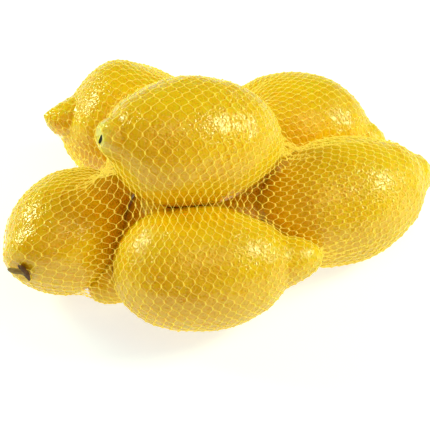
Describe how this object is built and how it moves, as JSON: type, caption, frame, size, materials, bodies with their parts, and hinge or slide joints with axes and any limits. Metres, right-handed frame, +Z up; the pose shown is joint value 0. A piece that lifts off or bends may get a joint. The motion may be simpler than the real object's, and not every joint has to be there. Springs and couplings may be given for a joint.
{
  "type": "net of lemons",
  "caption": "Whole lemons held in one bundle by a fine stretchy knitted net, gathered and clipped at both ends.",
  "frame": {"origin": "on the ground under the middle of the bundle's bounding box", "axes": "+X along the bundle's long side, +Y away from its front, +Z up"},
  "size_m": [0.2045, 0.158, 0.1025],
  "materials": {
    "peel": "waxy, finely pored",
    "net": "fine knitted filament with a slight sheen",
    "calyx": "dry and woody",
    "clip": "plain crimped wire"
  },
  "bodies": {
    "root": {"net_of_lemons": "peel"}
  },
  "joints": []
}
